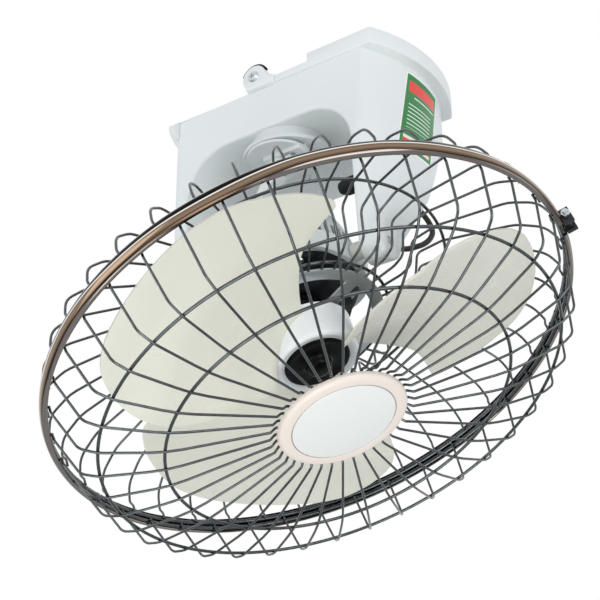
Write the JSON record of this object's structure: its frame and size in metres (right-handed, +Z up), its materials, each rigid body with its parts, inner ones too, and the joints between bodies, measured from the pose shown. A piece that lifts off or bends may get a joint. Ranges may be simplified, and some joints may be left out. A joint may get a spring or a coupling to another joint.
{
  "type": "orbital ceiling fan",
  "caption": "Caged three-blade fan head in a gimbal under a ceiling housing; a crank carries its tail round so the air sweeps the room.",
  "frame": {"origin": "centre of the ceiling plate's bolt pattern, on its top face, which meets the ceiling", "axes": "+Z up, out of the ceiling plate's top face; -Y is the front, the side on which the head hangs; +X towards the leg that carries the lead"},
  "size_m": [0.4317, 0.46, 0.4316],
  "materials": {
    "zinc_sheet": "zinc-plated pressed sheet",
    "white_plastic": "white ABS, semi-gloss",
    "zinc_fixing": "bright zinc plate",
    "black_rubber": "matt moulded rubber",
    "bright_steel": "ground steel",
    "spacer_nylon": "natural nylon",
    "cover_enamel": "light grey baked enamel",
    "sintered_bronze": "oiled sintered bronze",
    "capacitor_plastic": "moulded plastic",
    "terminal_plastic": "moulded plastic",
    "label_film": "printed film, no wording",
    "lead_sheath": "dark flexible sheath",
    "white_enamel": "white baked enamel",
    "bearing_steel": "polished bearing steel",
    "grey_enamel": "light grey baked enamel",
    "black_enamel": "black baked enamel",
    "lamination_steel": "stacked laminations",
    "copper_winding": "varnished copper wire",
    "spring_steel": "blued spring steel",
    "guard_wire": "dark grey coated wire",
    "bright_chrome": "polished chrome plate",
    "cap_plastic": "cream ABS",
    "insert_plastic": "white ABS disc",
    "blade_plastic": "ivory AS plastic",
    "black_gloss": "gloss black plastic"
  },
  "bodies": {
    "housing": {"ceiling_plate": "zinc_sheet", "housing_shell": "white_plastic", "lug_screws": "zinc_fixing", "lug_pads": "black_rubber", "leg_pins": "bright_steel", "leg_spacers": "spacer_nylon", "orbit_motor": "zinc_sheet", "orbit_motor_screws": "zinc_fixing", "gear_cover": "cover_enamel", "gear_cover_screws": "zinc_fixing", "drive_bush": "sintered_bronze", "run_capacitor": "capacitor_plastic", "terminal_block": "terminal_plastic", "side_label": "label_film", "rubber_buffer": "black_rubber", "lead_grommets": "black_rubber", "motor_lead": "lead_sheath"},
    "crank": {"drive_shaft": "bright_steel", "crank_disc": "cover_enamel", "crank_arm": "white_enamel", "crank_bolts": "zinc_fixing", "crank_washers": "zinc_fixing", "tail_bearing": "bearing_steel"},
    "ring": {"gimbal_ring": "cover_enamel", "ring_pivot_screws": "zinc_fixing"},
    "head": {"motor_rear_cover": "grey_enamel", "motor_front_cover": "black_enamel", "motor_cover_screws": "zinc_fixing", "stator_core": "lamination_steel", "stator_winding": "copper_winding", "motor_bearings": "bearing_steel", "tail_pin": "bright_steel", "tail_clip": "spring_steel", "guard_plate": "zinc_sheet", "guard_plate_screws": "zinc_fixing", "rear_guard": "guard_wire", "rear_guard_rings": "guard_wire", "front_guard": "guard_wire", "front_guard_rings": "guard_wire", "guard_belt": "bright_chrome", "belt_clamp": "black_enamel", "belt_screw": "zinc_fixing", "belt_nut": "zinc_fixing", "front_cap": "cap_plastic", "cap_insert": "insert_plastic", "cap_backing": "zinc_sheet", "cap_screws": "zinc_fixing"},
    "rotor": {"motor_shaft": "bright_steel", "rotor_core": "lamination_steel", "blade_moulding": "blade_plastic", "hub_pin": "bright_steel", "spinner": "black_gloss"}
  },
  "joints": [
    {"name": "orbit", "type": "hinge", "parent": "housing", "child": "crank", "pos_m": [0, -0.047, -0.216], "axis": [0, 0, 1], "continuous": true},
    {"name": "head_turn", "type": "hinge", "parent": "crank", "child": "head", "pos_m": [0, -0.047, -0.216], "axis": [-0.3907, 0, 0.9205], "continuous": true},
    {"name": "ring_tilt", "type": "hinge", "parent": "housing", "child": "ring", "pos_m": [0, -0.047, -0.216], "axis": [1, 0, 0], "range_deg": [-23, 23]},
    {"name": "blade_spin", "type": "hinge", "parent": "head", "child": "rotor", "pos_m": [0, -0.047, -0.216], "axis": [0.3907, 0, -0.9205], "continuous": true}
  ],
  "couplings": [
    {"joint": "head_turn", "follows": "orbit", "ratio": -1}
  ]
}
